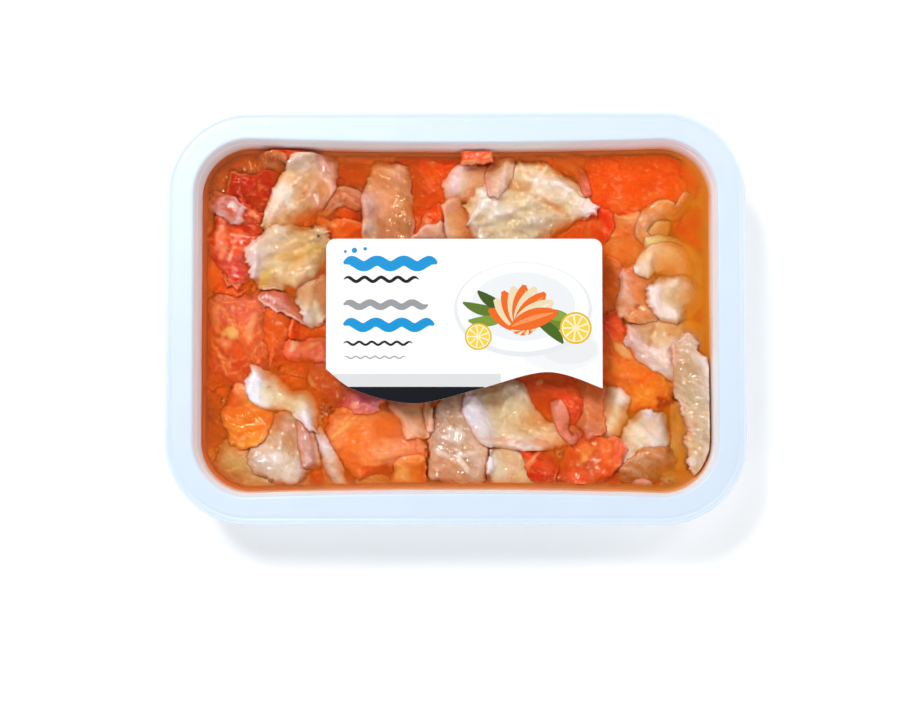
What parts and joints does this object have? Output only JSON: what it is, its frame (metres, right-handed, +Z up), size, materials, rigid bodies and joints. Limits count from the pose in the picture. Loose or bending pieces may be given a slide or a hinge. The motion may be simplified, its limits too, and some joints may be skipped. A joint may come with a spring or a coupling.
{
  "type": "pack of assorted smoked fish",
  "caption": "Sealed rectangular plastic tray of smoked fish slices in oil, under a clear lid film with a plain printed label.",
  "frame": {"origin": "middle of the tray's underside, on the surface it stands on", "axes": "+Z up through the lid film, +X along the tray's long side, +Y towards the back edge, above the label's upper edge"},
  "size_m": [0.19, 0.1356, 0.0365],
  "materials": {
    "tray_plastic": "pale blue-white moulded polypropylene, satin",
    "lid_film": "clear glossy sealed film",
    "label_print": "white printed film label, satin",
    "oil": "amber oil, clear and wet",
    "salmon_flesh": "orange-red smoked salmon with pale fat lines, oily",
    "white_flesh": "cream smoked white fish, oily and slightly see-through"
  },
  "bodies": {
    "root": {"tray": "tray_plastic", "film": "lid_film", "label": "label_print", "oil": "oil", "salmon_corner": "salmon_flesh", "salmon_dusk": "salmon_flesh", "salmon_valley": "salmon_flesh", "salmon_amber": "salmon_flesh", "salmon_arch": "salmon_flesh", "white_low_corner": "white_flesh", "salmon_left_sheet": "salmon_flesh", "salmon_left_fin": "salmon_flesh", "salmon_crown": "salmon_flesh", "white_lump": "white_flesh", "white_arch": "white_flesh", "salmon_nib": "salmon_flesh", "white_stave": "white_flesh", "salmon_shoulder": "salmon_flesh", "salmon_grain": "salmon_flesh", "salmon_leaf": "salmon_flesh", "salmon_right_sheet": "salmon_flesh", "white_heel": "white_flesh", "white_right_sheet": "white_flesh", "white_petal": "white_flesh", "salmon_bow": "salmon_flesh", "salmon_smooth": "salmon_flesh", "salmon_deep": "salmon_flesh", "white_grey": "white_flesh", "white_rose": "white_flesh", "salmon_fold": "salmon_flesh", "salmon_front_block": "salmon_flesh", "salmon_front_small": "salmon_flesh", "white_tab": "white_flesh", "white_gloss": "white_flesh", "salmon_lattice": "salmon_flesh", "salmon_dark_tuft": "salmon_flesh", "salmon_tuft": "salmon_flesh", "salmon_tile": "salmon_flesh", "salmon_fringe": "salmon_flesh", "white_tongue": "white_flesh", "white_veil": "white_flesh", "white_blade": "white_flesh", "white_yellow": "white_flesh", "white_left_lobe": "white_flesh", "white_tan_lobe": "white_flesh", "white_cloud": "white_flesh", "white_shard": "white_flesh", "salmon_peak": "salmon_flesh", "salmon_ring": "salmon_flesh", "white_curl": "white_flesh", "white_band": "white_flesh", "white_hook": "white_flesh", "white_knuckle": "white_flesh", "white_tan": "white_flesh", "white_ragged": "white_flesh", "white_big_slice": "white_flesh", "salmon_curl": "salmon_flesh", "white_strip_long": "white_flesh", "white_strip_short": "white_flesh", "white_folded": "white_flesh"}
  },
  "joints": []
}
